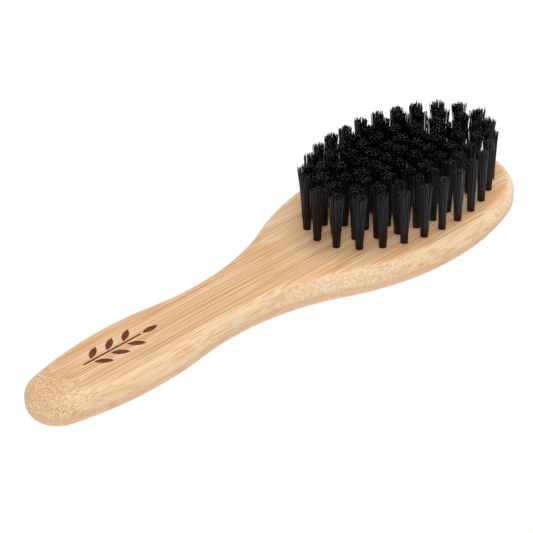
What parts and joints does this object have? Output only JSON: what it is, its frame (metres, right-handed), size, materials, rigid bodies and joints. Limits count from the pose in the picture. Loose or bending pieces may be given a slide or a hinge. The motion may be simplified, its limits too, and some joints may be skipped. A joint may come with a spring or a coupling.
{
  "type": "beard brush",
  "caption": "Paddle-shaped beard brush: laminated bamboo handle and oval head with rings of stiff black bristle tufts for combing a beard.",
  "frame": {"origin": "middle of the overall length and width, on the flat back of the paddle", "axes": "+X from the handle towards the head, +Z from the back towards the bristle tips"},
  "size_m": [0.175, 0.0544, 0.0258],
  "materials": {
    "bamboo_front": "satin oiled bamboo",
    "bamboo_back": "satin oiled bamboo",
    "bristle": "black nylon filament, satin",
    "anchor": "bare flat wire"
  },
  "bodies": {
    "root": {"lower_near_strip": "bamboo_back", "lower_middle_strip": "bamboo_back", "lower_far_strip": "bamboo_back", "upper_near_strip": "bamboo_front", "upper_middle_strip": "bamboo_front", "upper_far_strip": "bamboo_front", "tufts_ring_1": "bristle", "tufts_ring_2": "bristle", "tufts_ring_3": "bristle", "tufts_ring_4": "bristle", "tufts_centre_row": "bristle", "anchors_ring_1": "anchor", "anchors_ring_2": "anchor", "anchors_ring_3": "anchor", "anchors_ring_4": "anchor", "anchors_centre_row": "anchor"}
  },
  "joints": []
}
